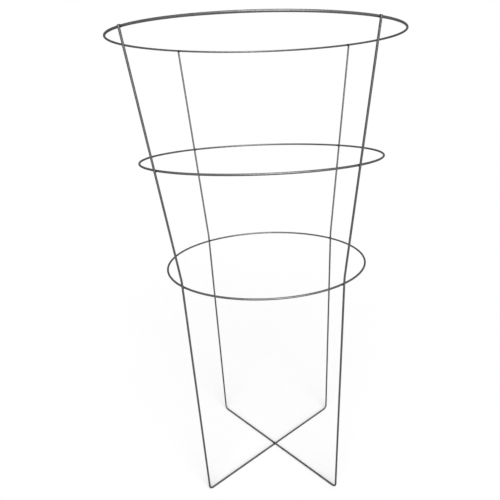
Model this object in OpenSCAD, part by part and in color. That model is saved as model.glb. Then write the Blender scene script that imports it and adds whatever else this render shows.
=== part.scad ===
// Tomato cage of round steel wire, in millimetres
// Two U-shaped leg wires cross at the foot and rise outside three closed rings, welded wherever they meet
// +Z is up, and the origin is the middle of the foot at ground level

/* [Wire] */
// Diameter of the wire that the rings are made of
ring_wire_d = 3.4; // [2:0.1:6]
// Diameter of the wire that the legs are made of
leg_wire_d = 3.4; // [2:0.1:6]

/* [Rings] */
// Outside diameter of the top ring
top_ring_d = 457; // [400:1:620]
// Outside diameter of the bottom ring
bottom_ring_d = 356; // [300:1:420]
// Height of the top ring's centre line above the ground
top_ring_z = 785; // [680:1:1100]
// Height of the middle ring's centre line
middle_ring_z = 602; // [500:1:660]
// Height of the bottom ring's centre line
bottom_ring_z = 416; // [250:1:460]

/* [Legs] */
// Distance between opposite feet, between the corners that the bends round off
foot_span = 332; // [240:1:400]
// Inside radius of the bend at each foot
foot_bend_r = 6; // [3:0.5:40]
// Height of the knee in each leg above the bottom ring's centre line
knee_rise = 11; // [8:0.5:30]
// Inside radius of the knee bend
knee_bend_r = 50; // [10:1:60]
// Height of the cut leg ends above the top ring's centre line
leg_end_rise = 2; // [1.8:0.1:20]

/* [Welds] */
// Depth that two crossing wires sink into each other at a weld
weld_sink = 0.5; // [0.2:0.05:0.8]
// How far the bead squeezed out of a weld stands proud of the thicker wire
weld_flash = 0.4; // [0.2:0.05:1]
// Length of the butt weld that closes each ring
seam_length = 2.4; // [1:0.1:6]
// How far the butt weld stands proud of the ring wire
seam_flash = 0.3; // [0.1:0.05:1]

/* [Hidden] */

// Sides that a drawn wire and a drawn ring have
$fn = 72;
ring_sides = 240;

// Directions seen from above: each leg wire's plane, the two ends of one wire, and the rings' butt welds
under_azimuth = 45;
over_azimuth = 135;
leg_turns = [0, 180];
seam_azimuth = 110;

// Lean of a level wire, where an upright one leans by 0
level_lean = 90;
// A leg that turns less than this is straight
least_turn = 0.01;
// How far the wire swells where the bending tool gripped it, at both ends of a bend
grip_swell = 0.02;

// Centre lines of the two foot wires, the upper one sunk into the lower
under_z = leg_wire_d / 2 + grip_swell;
over_z = under_z + leg_wire_d - weld_sink;

// Centre lines of the rings and the bends
top_ring_r = (top_ring_d - ring_wire_d) / 2;
bottom_ring_r = (bottom_ring_d - ring_wire_d) / 2;
foot_bend_line_r = foot_bend_r + leg_wire_d / 2;
knee_bend_line_r = knee_bend_r + leg_wire_d / 2;
knee_z = bottom_ring_z + knee_rise;

// Distance between the centre lines of a ring and a leg that are welded together
weld_reach = (ring_wire_d + leg_wire_d) / 2 - weld_sink;
weld_bead_d = max(ring_wire_d, leg_wire_d) + 2 * weld_flash;

// Points in a leg's own plane are [distance from the axis, height], and a lean is measured outwards from upright
function along(lean) = [sin(lean), cos(lean)];
function outward(lean) = [cos(lean), -sin(lean)];
function setback(turn, r) = r * tan(abs(turn) / 2);

// Lean of a straight leg that starts at a point and passes just outside a ring
function lean_past(start, ring) =
  atan2(ring[0] - start[0], ring[1] - start[1]) + asin(weld_reach / norm(ring - start));

// A leg wire whose foot lies at height z: the corner of the foot, the knee and the cut end
function foot_corner(z) = [foot_span / 2, z];
function lower_lean(z) = lean_past(foot_corner(z), [bottom_ring_r, bottom_ring_z]);
function knee_corner(z) = foot_corner(z) + (knee_z - z) * [tan(lower_lean(z)), 1];
function upper_lean(z) = lean_past(knee_corner(z), [top_ring_r, top_ring_z]);
function leg_end(z) = knee_corner(z) + (top_ring_z + leg_end_rise - knee_z) * [tan(upper_lean(z)), 1];
function foot_setback(z) = setback(level_lean - lower_lean(z), foot_bend_line_r);
function knee_setback(z) = setback(lower_lean(z) - upper_lean(z), knee_bend_line_r);

// The middle ring fills the legs at its own height
middle_leg_r = knee_corner(under_z)[0] + (middle_ring_z - knee_z) * tan(upper_lean(under_z));
middle_ring_r = middle_leg_r - weld_reach / cos(upper_lean(under_z));

// Straight wire between two points of a leg's plane
module wire_run(start, end, d) {
  span = end - start;
  translate([start[0], 0, start[1]])
    rotate([0, atan2(span[0], span[1]), 0])
      cylinder(d = d, h = norm(span));
}

// Bent wire that rounds off a corner of a leg's plane, from one lean to the next
module wire_bend(corner, lean_in, lean_out, r, d) {
  turn = lean_in - lean_out;
  side = turn > 0 ? 1 : -1;
  centre = corner - setback(turn, r) * along(lean_in) - side * r * outward(lean_in);
  first_angle = turn > 0 ? -lean_in : 180 - lean_out;
  if (abs(turn) > least_turn)
    translate([centre[0], 0, centre[1]])
      rotate([90, 0, 0])
        rotate(first_angle)
          rotate_extrude(angle = abs(turn))
            translate([r, 0])
              circle(d = d);
  for (grip = [corner - setback(turn, r) * along(lean_in), corner + setback(turn, r) * along(lean_out)])
    translate([grip[0], 0, grip[1]])
      sphere(d = d + 2 * grip_swell);
}

// Level stretch of a leg wire, from one foot bend to the other
module foot_run(z) {
  reach = foot_span / 2 - foot_setback(z);
  wire_run([-reach, z], [reach, z], leg_wire_d);
}

// One whole leg wire, in the XZ plane
module bent_leg(z) {
  lower = lower_lean(z);
  upper = upper_lean(z);
  foot_run(z);
  for (turn = leg_turns)
    rotate(turn) {
      wire_bend(foot_corner(z), level_lean, lower, foot_bend_line_r, leg_wire_d);
      wire_run(foot_corner(z) + foot_setback(z) * along(lower),
        knee_corner(z) - knee_setback(z) * along(lower), leg_wire_d);
      wire_bend(knee_corner(z), lower, upper, knee_bend_line_r, leg_wire_d);
      wire_run(knee_corner(z) + knee_setback(z) * along(upper), leg_end(z), leg_wire_d);
    }
}

// Round wire laid in a level circle
module ring_wire(r, z) {
  translate([0, 0, z])
    rotate_extrude($fn = ring_sides)
      translate([r, 0])
        circle(d = ring_wire_d);
}

// The bead of the butt weld where a ring's two ends meet
module ring_seam(r, z) {
  seam_angle = seam_length / r * 180 / PI;
  translate([0, 0, z])
    rotate(seam_azimuth - seam_angle / 2)
      rotate_extrude(angle = seam_angle)
        translate([r, 0])
          circle(d = ring_wire_d + 2 * seam_flash);
}

module closed_ring(r, z) {
  ring_wire(r, z);
  ring_seam(r, z);
}

// Space that the three rings take, which the leg wires are sunk round
module ring_wires() {
  ring_wire(top_ring_r, top_ring_z);
  ring_wire(middle_ring_r, middle_ring_z);
  ring_wire(bottom_ring_r, bottom_ring_z);
}

// Bead round the place where a leg is welded to the outside of a ring
module ring_weld(r, z, lean) {
  ring_point = [r, z];
  leg_point = ring_point + weld_reach * outward(lean);
  bead_point = ring_point + (ring_wire_d - weld_sink) / 2 * outward(lean);
  difference() {
    translate([bead_point[0], 0, bead_point[1]])
      sphere(d = weld_bead_d);
    translate([r, 0, z])
      rotate([90, 0, 0])
        cylinder(d = ring_wire_d, h = 2 * weld_bead_d, center = true);
    wire_run(leg_point - weld_bead_d * along(lean), leg_point + weld_bead_d * along(lean), leg_wire_d);
  }
}

// The beads of one ring, where each leg wire passes it twice
module ring_weld_set(r, z, under_lean, over_lean) {
  for (turn = leg_turns) {
    rotate(under_azimuth + turn)
      ring_weld(r, z, under_lean);
    rotate(over_azimuth + turn)
      ring_weld(r, z, over_lean);
  }
}

module top_ring() {
  color("silver")
    closed_ring(top_ring_r, top_ring_z);
}

module middle_ring() {
  color("silver")
    closed_ring(middle_ring_r, middle_ring_z);
}

module bottom_ring() {
  color("silver")
    closed_ring(bottom_ring_r, bottom_ring_z);
}

module leg_wire_under() {
  color("darkgray")
    difference() {
      rotate(under_azimuth)
        bent_leg(under_z);
      ring_wires();
    }
}

module leg_wire_over() {
  color("darkgray")
    difference() {
      rotate(over_azimuth)
        bent_leg(over_z);
      ring_wires();
      rotate(under_azimuth)
        foot_run(under_z);
    }
}

module top_ring_welds() {
  color("dimgray")
    ring_weld_set(top_ring_r, top_ring_z, upper_lean(under_z), upper_lean(over_z));
}

module middle_ring_welds() {
  color("dimgray")
    ring_weld_set(middle_ring_r, middle_ring_z, upper_lean(under_z), upper_lean(over_z));
}

module bottom_ring_welds() {
  color("dimgray")
    ring_weld_set(bottom_ring_r, bottom_ring_z, lower_lean(under_z), lower_lean(over_z));
}

module foot_cross_weld() {
  color("dimgray")
    difference() {
      translate([0, 0, (under_z + over_z) / 2])
        sphere(d = weld_bead_d);
      rotate(under_azimuth)
        foot_run(under_z);
      rotate(over_azimuth)
        foot_run(over_z);
    }
}

top_ring();
middle_ring();
bottom_ring();
leg_wire_under();
leg_wire_over();
top_ring_welds();
middle_ring_welds();
bottom_ring_welds();
foot_cross_weld();
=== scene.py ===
import math

import bmesh
import bpy
from mathutils import Matrix, Vector, noise


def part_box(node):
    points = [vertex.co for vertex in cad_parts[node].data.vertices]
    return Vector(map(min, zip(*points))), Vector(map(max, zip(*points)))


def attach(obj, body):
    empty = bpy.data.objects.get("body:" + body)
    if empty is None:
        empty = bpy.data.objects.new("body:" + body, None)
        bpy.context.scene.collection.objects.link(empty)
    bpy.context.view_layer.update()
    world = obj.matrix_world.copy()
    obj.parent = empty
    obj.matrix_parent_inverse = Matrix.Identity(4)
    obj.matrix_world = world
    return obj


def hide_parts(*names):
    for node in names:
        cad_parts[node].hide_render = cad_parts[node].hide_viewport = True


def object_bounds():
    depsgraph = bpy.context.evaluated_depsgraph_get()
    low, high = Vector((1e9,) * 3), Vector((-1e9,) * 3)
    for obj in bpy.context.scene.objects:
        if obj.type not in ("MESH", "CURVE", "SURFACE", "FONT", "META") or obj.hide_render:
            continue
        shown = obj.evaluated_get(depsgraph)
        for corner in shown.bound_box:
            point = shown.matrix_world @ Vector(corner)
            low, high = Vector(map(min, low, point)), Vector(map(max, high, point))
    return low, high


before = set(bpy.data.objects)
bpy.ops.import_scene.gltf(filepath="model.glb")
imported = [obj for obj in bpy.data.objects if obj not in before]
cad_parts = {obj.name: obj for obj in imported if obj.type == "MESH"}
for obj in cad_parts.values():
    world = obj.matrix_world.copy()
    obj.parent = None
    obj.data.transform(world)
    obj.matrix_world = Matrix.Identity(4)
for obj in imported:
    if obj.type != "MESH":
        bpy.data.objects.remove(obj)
cadLow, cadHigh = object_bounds()
print("frame loaded:", ", ".join(sorted(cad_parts)))

mm = 0.001
scene = bpy.context.scene
scene.view_settings.view_transform = "Standard"


def grey(level):
    return (level, level, level, 1.0)


# A socket takes what another node gives, or a fixed value
def feed(tree, socket, value):
    if isinstance(value, bpy.types.NodeSocket):
        tree.links.new(value, socket)
    else:
        socket.default_value = value


# A node is made from its kind, its settings and what its sockets take
def addNode(tree, kind, settings=None, inputs=None):
    node = tree.nodes.new(kind)
    for key, value in (settings or {}).items():
        setattr(node, key, value)
    for key, value in (inputs or {}).items():
        feed(tree, node.inputs[key], value)
    return node


def addMath(tree, operation, first, second):
    return addNode(tree, "ShaderNodeMath", {"operation": operation}, {0: first, 1: second}).outputs[0]


def addScaled(tree, base, value, factor):
    return addMath(tree, "ADD", base, addMath(tree, "MULTIPLY", value, factor))


# How far a pattern between 0 and 1 swings about its middle, times a strength
def addSwing(tree, pattern, strength):
    return addMath(tree, "MULTIPLY", addMath(tree, "SUBTRACT", pattern, 0.5), strength)


def addRange(tree, value, edge, toLow=0.0, toHigh=1.0):
    inputs = {"Value": value, "From Min": edge[0], "From Max": edge[1], "To Min": toLow, "To Max": toHigh}
    return addNode(tree, "ShaderNodeMapRange", {"interpolation_type": "SMOOTHSTEP"}, inputs).outputs[0]


def addNoise(tree, coords, scale, detail):
    inputs = {"Vector": coords, "Scale": scale, "Detail": detail}
    return addNode(tree, "ShaderNodeTexNoise", None, inputs).outputs["Fac"]


# Where a Mix node of colours keeps its factor, its two colours and its result
mixInputs = (0, 6, 7)
mixOutput = 2


def addMix(tree, factor, first, second):
    inputs = dict(zip(mixInputs, (factor, first, second)))
    return addNode(tree, "ShaderNodeMix", {"data_type": "RGBA"}, inputs).outputs[mixOutput]


def newGroup(name, inputs, outputs):
    tree = bpy.data.node_groups.new(name, "ShaderNodeTree")
    for label, kind in inputs:
        tree.interface.new_socket(label, in_out="INPUT", socket_type=kind)
    for label, kind in outputs:
        tree.interface.new_socket(label, in_out="OUTPUT", socket_type=kind)
    return tree, tree.nodes.new("NodeGroupInput").outputs, tree.nodes.new("NodeGroupOutput").inputs


# What both groups give to a metal surface
surfaceOutputs = [("Color", "NodeSocketColor"), ("Roughness", "NodeSocketFloat"),
                  ("Height", "NodeSocketFloat")]

# Zinc coat on drawn wire: streaks along the wire, crystals, dull patches and dark specks
zincCoat = {
    "streak": {"scale": (3000.0, 3000.0, 110.0), "detail": 4.0, "rough": 0.25},
    "crystal": {"scale": (800.0, 800.0, 420.0), "height": 0.35},
    "patch": {"scale": (90.0, 90.0, 28.0), "detail": 5.0, "edge": (0.46, 0.64), "rough": 0.16, "height": 0.8},
    "speck": {"scale": (1700.0, 1700.0, 900.0), "detail": 2.0, "edge": (0.66, 0.74), "cover": 0.5,
              "color": grey(0.02)},
}


def stretched(tree, coords, scale):
    return addNode(tree, "ShaderNodeVectorMath", {"operation": "MULTIPLY"}, {0: coords, 1: scale}).outputs[0]


def stretchedNoise(tree, coords, mark):
    return addNoise(tree, stretched(tree, coords, mark["scale"]), 1.0, mark["detail"])


def makeZincGroup():
    tree, given, result = newGroup(
        "zincCoat",
        [("Coords", "NodeSocketVector"), ("Bare", "NodeSocketColor"), ("Dull", "NodeSocketColor"),
         ("Streaks", "NodeSocketFloat"), ("Crystals", "NodeSocketFloat"), ("Patches", "NodeSocketFloat"),
         ("Rough", "NodeSocketFloat")],
        surfaceOutputs)
    coords = given["Coords"]
    crystalMark = zincCoat["crystal"]
    streakMark, patchMark, speckMark = (zincCoat[k] for k in ("streak", "patch", "speck"))
    streak, patch, speck = (stretchedNoise(tree, coords, m) for m in (streakMark, patchMark, speckMark))
    crystalCoords = stretched(tree, coords, crystalMark["scale"])
    crystal = addNode(tree, "ShaderNodeTexVoronoi", None, {"Vector": crystalCoords, "Scale": 1.0})
    cell = addNode(tree, "ShaderNodeSeparateColor", None, {"Color": crystal.outputs["Color"]}).outputs[0]
    streakTone = addSwing(tree, streak, given["Streaks"])
    cellTone = addSwing(tree, cell, given["Crystals"])
    tone = addMath(tree, "ADD", addMath(tree, "ADD", streakTone, cellTone), 1.0)
    toned = addNode(tree, "ShaderNodeVectorMath", {"operation": "SCALE"}, {0: given["Bare"], "Scale": tone})
    dullCover = addMath(tree, "MULTIPLY", addRange(tree, patch, patchMark["edge"]), given["Patches"])
    speckCover = addRange(tree, speck, speckMark["edge"], 0.0, speckMark["cover"])
    coat = addMix(tree, dullCover, toned.outputs[0], given["Dull"])
    rough = addScaled(tree, given["Rough"], dullCover, patchMark["rough"])
    height = addScaled(tree, streak, cell, crystalMark["height"])
    feed(tree, result["Color"], addMix(tree, speckCover, coat, speckMark["color"]))
    feed(tree, result["Roughness"], addScaled(tree, rough, streakTone, streakMark["rough"]))
    feed(tree, result["Height"], addScaled(tree, height, patch, patchMark["height"]))
    return tree


# Heat of a weld: the zinc burns off to a dark scale, with a pale rim of its oxide further out
weldScorch = {
    "sootScale": 900.0, "sootDetail": 4.0, "sootSwing": 0.5, "burntEdge": (0.35, 0.8), "burntCover": 0.92,
    "rimOuter": (0.08, 0.25), "rimInner": (0.25, 0.5), "rimCover": 0.35, "rough": 0.25,
}


def makeScorchGroup():
    tree, given, result = newGroup(
        "weldScorch",
        [("Coords", "NodeSocketVector"), ("Heat", "NodeSocketFloat"), ("Color", "NodeSocketColor"),
         ("Roughness", "NodeSocketFloat"), ("Scale", "NodeSocketColor"), ("Oxide", "NodeSocketColor")],
        surfaceOutputs)
    soot = addNoise(tree, given["Coords"], weldScorch["sootScale"], weldScorch["sootDetail"])
    uneven = addSwing(tree, soot, weldScorch["sootSwing"])
    heat = addScaled(tree, given["Heat"], uneven, given["Heat"])
    burnt = addRange(tree, heat, weldScorch["burntEdge"], 0.0, weldScorch["burntCover"])
    outer = addRange(tree, heat, weldScorch["rimOuter"])
    inner = addRange(tree, heat, weldScorch["rimInner"], weldScorch["rimCover"], 0.0)
    rim = addMath(tree, "MULTIPLY", outer, inner)
    pale = addMix(tree, rim, given["Color"], given["Oxide"])
    marked = addMath(tree, "MAXIMUM", burnt, rim)
    feed(tree, result["Color"], addMix(tree, burnt, pale, given["Scale"]))
    feed(tree, result["Roughness"], addScaled(tree, given["Roughness"], marked, weldScorch["rough"]))
    feed(tree, result["Height"], addMath(tree, "MULTIPLY", soot, burnt))
    return tree


zincGroup = makeZincGroup()
scorchGroup = makeScorchGroup()


def startMaterial(name):
    material = bpy.data.materials.new(name)
    material.use_nodes = True
    tree = material.node_tree
    tree.nodes.clear()
    out = tree.nodes.new("ShaderNodeOutputMaterial")
    shader = tree.nodes.new("ShaderNodeBsdfPrincipled")
    tree.links.new(shader.outputs[0], out.inputs["Surface"])
    return material, tree, shader


def readAttribute(tree, name, output):
    return addNode(tree, "ShaderNodeAttribute", {"attribute_name": name}).outputs[output]


def finishMetal(tree, shader, look, color, rough, height):
    relief = {"Strength": look["bump"], "Distance": look["bumpDepth"], "Height": height}
    bump = addNode(tree, "ShaderNodeBump", None, relief)
    shader.inputs["Metallic"].default_value = look["metallic"]
    shader.inputs["Specular Tint"].default_value = look["edgeTint"]
    tree.links.new(color, shader.inputs["Base Color"])
    tree.links.new(rough, shader.inputs["Roughness"])
    tree.links.new(bump.outputs[0], shader.inputs["Normal"])


# Wire, with the weld's heat and the bare steel of a cut end where the piece has them
burntScale = (0.022, 0.021, 0.02, 1.0)
ringLook = {
    "name": "galvanisedRingWire", "bare": grey(0.105), "dull": grey(0.145), "streaks": 0.4, "crystals": 0.28,
    "patches": 0.3, "rough": 0.41, "scale": burntScale, "oxide": grey(0.15), "cutSteel": grey(0.2),
    "metallic": 0.9, "edgeTint": grey(0.36), "bump": 0.12, "bumpDepth": 0.05 * mm, "scorchHeight": 2.0,
}
legLook = dict(ringLook, name="galvanisedLegWire", bare=grey(0.086), dull=grey(0.116))


def makeWireMaterial(look):
    material, tree, shader = startMaterial(look["name"])
    coords = readAttribute(tree, "wireCoords", "Vector")
    zinc = addNode(tree, "ShaderNodeGroup", {"node_tree": zincGroup}, {
        "Coords": coords, "Bare": look["bare"], "Dull": look["dull"], "Streaks": look["streaks"],
        "Crystals": look["crystals"], "Patches": look["patches"], "Rough": look["rough"]}).outputs
    scorch = addNode(tree, "ShaderNodeGroup", {"node_tree": scorchGroup}, {
        "Coords": coords, "Heat": readAttribute(tree, "weldHeat", "Fac"), "Color": zinc["Color"],
        "Roughness": zinc["Roughness"], "Scale": look["scale"], "Oxide": look["oxide"]}).outputs
    color = addMix(tree, readAttribute(tree, "cutFace", "Fac"), scorch["Color"], look["cutSteel"])
    height = addScaled(tree, zinc["Height"], scorch["Height"], look["scorchHeight"])
    finishMetal(tree, shader, look, color, scorch["Roughness"], height)
    return material


# Weld metal: dark scale with lighter, smoother spots
weldLook = {
    "name": "weldScale", "dark": burntScale, "light": (0.075, 0.073, 0.07, 1.0), "grainScale": 1400.0,
    "grainDetail": 5.0, "grainEdge": (0.45, 0.7), "rough": 0.7, "spotPolish": 0.3, "metallic": 0.85,
    "edgeTint": grey(0.3), "bump": 0.5, "bumpDepth": 0.08 * mm,
}


def makeWeldMaterial(look):
    material, tree, shader = startMaterial(look["name"])
    coords = tree.nodes.new("ShaderNodeTexCoord").outputs["Object"]
    grain = addNoise(tree, coords, look["grainScale"], look["grainDetail"])
    spots = addRange(tree, grain, look["grainEdge"])
    color = addMix(tree, spots, look["dark"], look["light"])
    rough = addMath(tree, "SUBTRACT", look["rough"], addMath(tree, "MULTIPLY", spots, look["spotPolish"]))
    finishMetal(tree, shader, look, color, rough, grain)
    return material


ringMaterial = makeWireMaterial(ringLook)
legMaterial = makeWireMaterial(legLook)
weldMaterial = makeWeldMaterial(weldLook)
print("materials made:", ", ".join(m.name for m in (ringMaterial, legMaterial, weldMaterial)))


# How finely a wire is meshed: long steps, with short ones beside a weld or a seam
wireMesh = {"radius": 1.7 * mm, "sides": 24, "step": 4 * mm, "fineStep": 0.25 * mm, "fineReach": 4 * mm,
            "bendStep": math.radians(6)}
# Marks that making leaves on the wire
wireMarks = {"unevenDepth": 0.03 * mm, "unevenScale": 140.0, "heatReach": 6 * mm,
             "pressDepth": 0.14 * mm, "pressReach": 3 * mm}
rootBody = "root"


def falloff(distance, reach):
    share = max(0.0, 1.0 - (distance / reach) ** 2)
    return share * share


def stepsAlong(length, spots):
    count = max(1, round(length / wireMesh["step"]))
    marks = [length * i / count for i in range(1, count + 1)]
    reach = wireMesh["fineReach"]
    kept = [m for m in marks[:-1] if all(abs(m - s) > reach for s in spots)]
    half = round(reach / wireMesh["fineStep"])
    close = [s + reach * k / half for s in spots for k in range(-half, half + 1)]
    edge = wireMesh["fineStep"] / 2
    return sorted(kept + [m for m in close if edge < m < length - edge] + [length])


# A station is a loop of wire: its place, its distance along the wire and the depth of a press mark there
def makeStation(place, along, press=0.0):
    return {"place": place, "along": along, "press": press}


def pressAt(along, spots):
    marks = [falloff(along - s, wireMarks["pressReach"]) for s in spots]
    return wireMarks["pressDepth"] * max(marks, default=0.0)


# Extruding leaves edges and faces in no fixed order, so they are put in the order of their points
def sortParts(bm):
    bm.verts.index_update()
    count = len(bm.verts)

    def rank(part):
        points = [v.index for v in part.verts]
        return min(points) * count + max(points)

    bm.edges.sort(key=rank)
    bm.faces.sort(key=rank)


# Sweeps the wire through its stations, and flattens it where they have a press mark
def sweepWire(bm, stations, closed):
    layer = bm.verts.layers.float_vector.new("wireCoords")
    first = stations[0]
    bmesh.ops.create_circle(bm, segments=wireMesh["sides"], radius=wireMesh["radius"], matrix=first["place"])
    edges = list(bm.edges)
    firstEdges = edges
    loops = [(list(bm.verts), first)]
    for station in stations[1:]:
        made = bmesh.ops.extrude_edge_only(bm, edges=edges)["geom"]
        verts = [g for g in made if isinstance(g, bmesh.types.BMVert)]
        ends = set(verts)
        edges = [g for g in made if isinstance(g, bmesh.types.BMEdge) and ends.issuperset(g.verts)]
        move = station["place"] @ loops[-1][1]["place"].inverted()
        bmesh.ops.transform(bm, matrix=move, verts=verts)
        loops.append((verts, station))
    if closed:
        bmesh.ops.bridge_loops(bm, edges=firstEdges + edges)
    for verts, station in loops:
        back = station["place"].inverted()
        limit = wireMesh["radius"] - station["press"]
        for vert in verts:
            local = back @ vert.co
            vert[layer] = (local.x, local.y, station["along"])
            if local.x > limit:
                vert.co = station["place"] @ Vector((limit, local.y, local.z))
    sortParts(bm)


# Pushes what lies inside another wire out to that wire's skin, as two wires sink into each other at a weld
def sinkRound(bm, nearest):
    for vert in bm.verts:
        centre = nearest(vert.co)
        gap = vert.co - centre
        if gap.length < wireMesh["radius"]:
            vert.co = centre + gap.normalized() * wireMesh["radius"]


def nearestOnRing(radius, height):
    return lambda p: Vector((p.x, p.y, 0.0)).normalized() * radius + Vector((0.0, 0.0, height))


def nearestOnLine(base, run):
    return lambda p: base + run * (p - base).dot(run)


def markHeat(bm, spots):
    layer = bm.verts.layers.float.new("weldHeat")
    for vert in bm.verts:
        vert[layer] = max(heat * falloff((vert.co - s).length, wireMarks["heatReach"]) for s, heat in spots)


def roughen(bm):
    bm.normal_update()
    depth = wireMarks["unevenDepth"]
    for vert in bm.verts:
        dip = 0.5 + 0.5 * noise.noise(vert.co * wireMarks["unevenScale"])  # about 0 to 1
        vert.co -= vert.normal * depth * min(1.0, max(0.0, dip))


def finishPiece(name, bm, material, node):
    mesh = bpy.data.meshes.new(name)
    for face in bm.faces:
        face.smooth = True
    bm.to_mesh(mesh)
    bm.free()
    mesh.materials.append(material)
    piece = bpy.data.objects.new(name, mesh)
    scene.collection.objects.link(piece)
    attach(piece, rootBody)
    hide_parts(node)
    print("piece made:", name, len(mesh.polygons), "faces")


# The five wires as the CAD part has them, in metres
cage = {"footSpan": 332 * mm, "footBend": 7.7 * mm, "kneeRise": 11 * mm, "kneeBend": 51.7 * mm,
        "endRise": 2 * mm, "weldSink": 0.5 * mm, "gripSwell": 0.02 * mm}
weldReach = 2 * wireMesh["radius"] - cage["weldSink"]
# Each leg wire's direction seen from above, and the height of its foot's centre line
underFoot = (math.radians(45), wireMesh["radius"] + cage["gripSwell"])
overFoot = (math.radians(135), underFoot[1] + weldReach)
legFeet = (underFoot, overFoot)
legTurns = (0.0, math.pi)


def ringSize(node):
    low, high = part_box(node)
    return (high.x - low.x) / 2 - wireMesh["radius"], (low.z + high.z) / 2


rings = {name: ringSize(name) for name in ("top_ring", "middle_ring", "bottom_ring")}
ringSeam = {"azimuth": math.radians(110), "length": 2.4 * mm, "flash": 0.3 * mm, "heat": 0.5}


def pointAt(radius, height, azimuth):
    return Vector((radius * math.cos(azimuth), radius * math.sin(azimuth), height))


# A ring starts and ends at its butt weld
def makeRing(name, node):
    radius, height = rings[node]
    girth = math.tau * radius
    start = ringSeam["azimuth"]
    welds = [azimuth + turn for azimuth, _ in legFeet for turn in legTurns]
    spots = [((w - start) % math.tau) * radius for w in welds]
    stations = []
    for along in [0.0] + stepsAlong(girth, [0.0] + spots + [girth])[:-1]:
        turn = start + along / radius
        away = min(along, girth - along)
        bead = 1.0 + ringSeam["flash"] / wireMesh["radius"] * falloff(away, ringSeam["length"] / 2)
        inward = Matrix.Rotation(turn + math.pi, 4, "Z") @ Matrix.Rotation(math.pi / 2, 4, "X")
        swell = Matrix.Diagonal((bead, bead, 1.0, 1.0))
        place = Matrix.Translation(pointAt(radius, height, turn)) @ inward @ swell
        stations.append(makeStation(place, along, pressAt(along, spots)))
    bm = bmesh.new()
    sweepWire(bm, stations, True)
    bmesh.ops.recalc_face_normals(bm, faces=bm.faces)
    roughen(bm)
    seamSpot = (pointAt(radius, height, start), ringSeam["heat"])
    markHeat(bm, [(pointAt(radius, height, w), 1.0) for w in welds] + [seamSpot])
    finishPiece(name, bm, ringMaterial, node)


# A leg wire is laid out in the XZ plane, where a heading is measured from +Z towards +X
def travelOf(heading):
    return Vector((math.sin(heading), 0.0, math.cos(heading)))


def outwardOf(heading):
    return Vector((math.cos(heading), 0.0, -math.sin(heading)))


# A squashed loop spreads sideways by half of what it loses
def loopPlace(point, heading, squash=0.0):
    outward = outwardOf(heading)
    travel = travelOf(heading)
    turn = Matrix((outward, travel.cross(outward), travel)).transposed().to_4x4()
    return Matrix.Translation(point) @ turn @ Matrix.Diagonal((1.0 - squash, 1.0 + squash / 2, 1.0, 1.0))


# Lean of a straight leg that starts at a point and passes just outside a ring
def leanPast(start, ring):
    gap = ring - start
    return math.atan2(gap.x, gap.z) + math.asin(weldReach / gap.length)


def legCorners(footHeight):
    foot = Vector((cage["footSpan"] / 2, 0.0, footHeight))
    bottom, top = (Vector((rings[n][0], 0.0, rings[n][1])) for n in ("bottom_ring", "top_ring"))
    lower = leanPast(foot, bottom)
    kneeRise = bottom.z + cage["kneeRise"] - footHeight
    knee = foot + Vector((kneeRise * math.tan(lower), 0.0, kneeRise))
    upper = leanPast(knee, top)
    endRise = top.z + cage["endRise"] - knee.z
    end = knee + Vector((endRise * math.tan(upper), 0.0, endRise))
    return {"foot": foot, "knee": knee, "end": end, "lower": lower, "upper": upper}


# Bends flatten the wire, and its ends are cut at a slant with a small bevel
legShape = {"footSquash": 0.06, "kneeSquash": 0.01, "cutTilt": math.radians(9), "cutBack": 0.42 * mm,
            "cutMerge": 0.06 * mm, "cutSnap": 0.0001 * mm, "bevelWidth": 0.15 * mm, "bevelRise": 0.1 * mm}


# Straight lengths, and bends as radius, turn and squash: down one leg, across the foot and up the other
def legMoves(corners):
    footTurn = math.pi / 2 - corners["lower"]
    kneeTurn = corners["upper"] - corners["lower"]
    footBack = cage["footBend"] * math.tan(footTurn / 2)
    kneeBack = cage["kneeBend"] * math.tan(kneeTurn / 2)
    upperRun = (corners["end"] - corners["knee"]).length - kneeBack
    lowerRun = (corners["knee"] - corners["foot"]).length - kneeBack - footBack
    footRun = 2 * (corners["foot"].x - footBack)
    footBend = (cage["footBend"], -footTurn, legShape["footSquash"])
    kneeBend = (cage["kneeBend"], kneeTurn, legShape["kneeSquash"])
    return [upperRun, kneeBend, lowerRun, footBend, footRun, footBend, lowerRun, kneeBend, upperRun]


def bendStations(point, heading, along, bend):
    radius, turn, squash = bend
    toCentre = math.copysign(radius, turn)
    centre = point + outwardOf(heading) * toCentre
    count = max(2, math.ceil(abs(turn) / wireMesh["bendStep"]))
    made = []
    for i in range(1, count + 1):
        share = i / count
        angle = heading + turn * share
        at = centre - outwardOf(angle) * toCentre
        place = loopPlace(at, angle, squash * math.sin(math.pi * share))
        made.append(makeStation(place, along + abs(turn) * radius * share))
    return made


def runStations(point, heading, along, length, welds):
    travel = travelOf(heading)
    across = outwardOf(heading)
    gaps = [w - point for w in welds]
    spots = [gap.dot(travel) for gap in gaps if abs(gap.dot(across)) < wireMesh["fineReach"]]
    spots = [s for s in spots if 0.0 < s < length]
    return [makeStation(loopPlace(point + travel * s, heading), along + s, pressAt(s, spots))
            for s in stepsAlong(length, spots)]


def legStations(corners, welds):
    heading = math.pi - corners["upper"]
    start = Vector((-corners["end"].x, 0.0, corners["end"].z))
    stations = [makeStation(loopPlace(start, heading), 0.0)]
    for move in legMoves(corners):
        point = stations[-1]["place"].to_translation()
        along = stations[-1]["along"]
        if isinstance(move, tuple):
            stations += bendStations(point, heading, along, move)
            heading += move[1]
        else:
            stations += runStations(point, heading, along, move, welds)
    return stations


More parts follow.
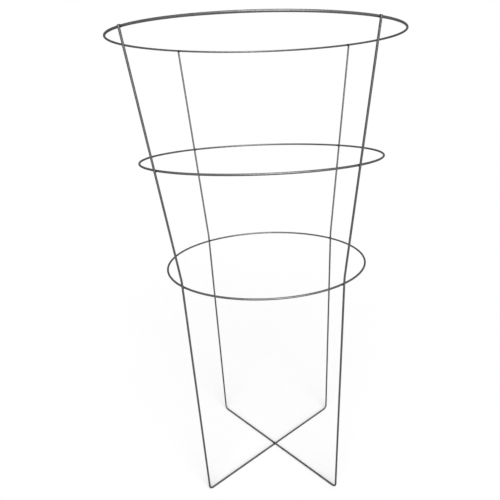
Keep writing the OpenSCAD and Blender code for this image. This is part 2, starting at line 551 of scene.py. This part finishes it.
def cutLegEnds(bm, corners):
    layer = bm.verts.layers.float.new("cutFace")
    end = corners["end"]
    tilt = corners["upper"] + legShape["cutTilt"]
    for side in (-1, 1):
        tip = Vector((side * end.x, 0.0, end.z - legShape["cutBack"]))
        normal = Vector((side * math.sin(tilt), 0.0, math.cos(tilt)))
        half = [v for v in bm.verts if v.co.x * side > 0]
        half += [g for g in list(bm.edges) + list(bm.faces) if g.verts[0].co.x * side > 0]
        bmesh.ops.bisect_plane(bm, geom=half, dist=legShape["cutSnap"], plane_co=tip, plane_no=normal,
                               clear_outer=True)
        close = [v for v in bm.verts
                 if v.co.x * side > 0 and abs((v.co - tip).dot(normal)) < legShape["cutMerge"]]
        bmesh.ops.remove_doubles(bm, verts=close, dist=legShape["cutMerge"])
        rim = [e for e in bm.edges if e.is_boundary and e.verts[0].co.x * side > 0]
        faces = bmesh.ops.edgeloop_fill(bm, edges=rim)["faces"]
        bmesh.ops.inset_region(bm, faces=faces, thickness=legShape["bevelWidth"], depth=0.0)
        for vert in (v for face in faces for v in face.verts):
            vert[layer] = 1.0
            vert.co += normal * legShape["bevelRise"]


def makeLeg(name, node, azimuth, footHeight, crossedBy=None):
    corners = legCorners(footHeight)
    crossSpot = Vector((0.0, 0.0, footHeight))
    ringSpots = [Vector((side * r, 0.0, z)) for r, z in rings.values() for side in (-1, 1)]
    bm = bmesh.new()
    sweepWire(bm, legStations(corners, ringSpots + [crossSpot]), False)
    cutLegEnds(bm, corners)
    bmesh.ops.recalc_face_normals(bm, faces=bm.faces)
    bmesh.ops.rotate(bm, verts=bm.verts, matrix=Matrix.Rotation(azimuth, 3, "Z"))
    for radius, height in rings.values():
        sinkRound(bm, nearestOnRing(radius, height))
    if crossedBy is not None:
        sinkRound(bm, nearestOnLine(*crossedBy))
    roughen(bm)
    welds = [pointAt(r, z, azimuth + turn) for r, z in rings.values() for turn in legTurns]
    markHeat(bm, [(spot, 1.0) for spot in welds + [crossSpot]])
    finishPiece(name, bm, legMaterial, node)


# Centre line of a foot wire: a point on it and its direction
def footLine(azimuth, footHeight):
    return Vector((0.0, 0.0, footHeight)), pointAt(1.0, 0.0, azimuth)


makeRing("topRingWire", "top_ring")
makeRing("middleRingWire", "middle_ring")
makeRing("bottomRingWire", "bottom_ring")
makeLeg("underLegWire", "leg_wire_under", *underFoot)
makeLeg("overLegWire", "leg_wire_over", *overFoot, crossedBy=footLine(*underFoot))


# A weld bead is a ball drawn on to the fillet between two crossing wires
weldBead = {"blend": 1.9 * mm, "reach": 2.5 * mm, "lumpDepth": 0.09 * mm, "lumpScale": 800.0,
            "dive": 0.1 * mm, "endCover": 0.2 * mm, "detail": 4, "searchSteps": 18}


def wireGap(point, base, run):
    gap = point - base
    return (gap - run * gap.dot(run)).length - wireMesh["radius"]


# Height over the lumpy fillet: a smooth minimum of both gaps, which dives under the wires' skin at its edge
def filletGap(point, wires):
    blend = weldBead["blend"]
    first, second = (wireGap(point, base, run) for base, run in wires)
    soft = max(blend - abs(first - second), 0.0) / blend
    fillet = min(first, second) - soft * soft * blend / 4
    lump = weldBead["lumpDepth"] * noise.noise(point * weldBead["lumpScale"])
    return fillet + weldBead["dive"] * (1.0 - soft) - lump * soft


def addBead(bm, contact, wires, ceiling=math.inf):
    made = bmesh.ops.create_icosphere(bm, subdivisions=weldBead["detail"], radius=1.0)["verts"]
    for vert in made:
        ray = vert.co.normalized()
        near = 0.0
        far = weldBead["reach"]
        for _ in range(weldBead["searchSteps"]):
            middle = (near + far) / 2
            if filletGap(contact + ray * middle, wires) < 0.0:
                near = middle
            else:
                far = middle
        vert.co = contact + ray * near
        vert.co.z = min(vert.co.z, ceiling)


def makeRingWelds(name, node, ringNode):
    radius, height = rings[ringNode]
    ringBase = Vector((radius, 0.0, height))
    ringRun = Vector((0.0, 1.0, 0.0))
    bm = bmesh.new()
    for azimuth, footHeight in legFeet:
        corners = legCorners(footHeight)
        lean = corners["lower" if ringNode == "bottom_ring" else "upper"]
        legBase = ringBase + outwardOf(lean) * weldReach
        for turn in legTurns:
            spin = Matrix.Rotation(azimuth + turn, 3, "Z")
            wires = [(spin @ ringBase, spin @ ringRun), (spin @ legBase, spin @ travelOf(lean))]
            addBead(bm, spin @ ((ringBase + legBase) / 2), wires, corners["end"].z - weldBead["endCover"])
    bmesh.ops.recalc_face_normals(bm, faces=bm.faces)
    finishPiece(name, bm, weldMaterial, node)


def makeFootWeld(name, node):
    wires = [footLine(*foot) for foot in legFeet]
    bm = bmesh.new()
    addBead(bm, Vector((0.0, 0.0, (underFoot[1] + overFoot[1]) / 2)), wires)
    bmesh.ops.recalc_face_normals(bm, faces=bm.faces)
    finishPiece(name, bm, weldMaterial, node)


makeRingWelds("topRingBeads", "top_ring_welds", "top_ring")
makeRingWelds("middleRingBeads", "middle_ring_welds", "middle_ring")
makeRingWelds("bottomRingBeads", "bottom_ring_welds", "bottom_ring")
makeFootWeld("footCrossBead", "foot_cross_weld")


# Pale floor and white surroundings: camera, gloss and glass see them white, and the floor keeps its shadow
stageLook = {"floorSize": 12.0, "floorAlbedo": 0.6, "floorLift": 0.28, "skyLight": 0.2}


def seenRays(tree):
    path = tree.nodes.new("ShaderNodeLightPath").outputs
    seen = addMath(tree, "MAXIMUM", path["Is Camera Ray"], path["Is Glossy Ray"])
    return addMath(tree, "MAXIMUM", seen, path["Is Transmission Ray"])


def makeFloor():
    bm = bmesh.new()
    bmesh.ops.create_grid(bm, x_segments=1, y_segments=1, size=stageLook["floorSize"] / 2)
    mesh = bpy.data.meshes.new("floor")
    bm.to_mesh(mesh)
    bm.free()
    floor = bpy.data.objects.new("floor", mesh)
    floor.location.z = cadLow.z
    scene.collection.objects.link(floor)
    material, tree, shader = startMaterial("paleFloor")
    shader.inputs["Base Color"].default_value = grey(stageLook["floorAlbedo"])
    shader.inputs["Roughness"].default_value = 1.0
    shader.inputs["Specular IOR Level"].default_value = 0.0
    shader.inputs["Emission Color"].default_value = grey(1.0)
    lift = addMath(tree, "MULTIPLY", seenRays(tree), stageLook["floorLift"])
    tree.links.new(lift, shader.inputs["Emission Strength"])
    mesh.materials.append(material)


def makeWorld():
    world = bpy.data.worlds.new("studioWorld")
    world.use_nodes = True
    scene.world = world
    tree = world.node_tree
    tree.nodes.clear()
    strength = addRange(tree, seenRays(tree), (0.0, 1.0), stageLook["skyLight"], 1.0)
    sky = addNode(tree, "ShaderNodeBackground", None, {"Color": grey(1.0), "Strength": strength})
    out = tree.nodes.new("ShaderNodeOutputWorld")
    tree.links.new(sky.outputs[0], out.inputs["Surface"])


# Two broad far panels above each other, turned from the front to the right, in degrees
panels = [
    {"name": "lowPanel", "turn": 26.0, "rise": 12.0, "spread": 32.0, "strength": 2.2},
    {"name": "highPanel", "turn": 9.0, "rise": 41.0, "spread": 48.0, "strength": 4.1},
]


# A sun lamp lights the same from anywhere, so only its direction is set
def makePanel(panel):
    turn, rise, spread = (math.radians(panel[k]) for k in ("turn", "rise", "spread"))
    data = bpy.data.lights.new(panel["name"], "SUN")
    data.angle = spread
    data.energy = panel["strength"]
    towards = Vector((math.sin(turn) * math.cos(rise), -math.cos(turn) * math.cos(rise), math.sin(rise)))
    lamp = bpy.data.objects.new(panel["name"], data)
    lamp.rotation_euler = towards.to_track_quat("Z", "Y").to_euler()
    scene.collection.objects.link(lamp)


# Camera, with the photograph's focal length and centre in pixels of a 500 by 500 image, its place in
# millimetres, its angles in degrees and its near limit in metres
photoCamera = {"imageSize": 500.0, "focal": 457.989, "centre": (279.09, 254.288), "sensor": 36.0,
               "place": (47.653, -788.169, 692.949), "pitch": 18.759, "yaw": -1.8, "roll": 1.872,
               "clipStart": 0.01}


def makeCamera():
    pitch, yaw, roll = (math.radians(photoCamera[k]) for k in ("pitch", "yaw", "roll"))
    forward = Vector((math.sin(yaw) * math.cos(pitch), math.cos(yaw) * math.cos(pitch), -math.sin(pitch)))
    level = Vector((math.cos(yaw), -math.sin(yaw), 0.0))
    down = forward.cross(level)
    right = level * math.cos(roll) + down * math.sin(roll)
    up = level * math.sin(roll) - down * math.cos(roll)
    size = photoCamera["imageSize"]
    data = bpy.data.cameras.new("photoCamera")
    data.sensor_width = photoCamera["sensor"]
    data.lens = photoCamera["focal"] / size * photoCamera["sensor"]
    data.shift_x = (size / 2 - photoCamera["centre"][0]) / size
    data.shift_y = (photoCamera["centre"][1] - size / 2) / size
    data.clip_start = photoCamera["clipStart"]
    camera = bpy.data.objects.new("photoCamera", data)
    turn = Matrix((right, up, -forward)).transposed().to_4x4()
    camera.matrix_world = Matrix.Translation(Vector(photoCamera["place"]) * mm) @ turn
    scene.collection.objects.link(camera)
    scene.camera = camera


makeFloor()
makeWorld()
for panel in panels:
    makePanel(panel)
makeCamera()
print("stage made:", len(panels), "lamps")
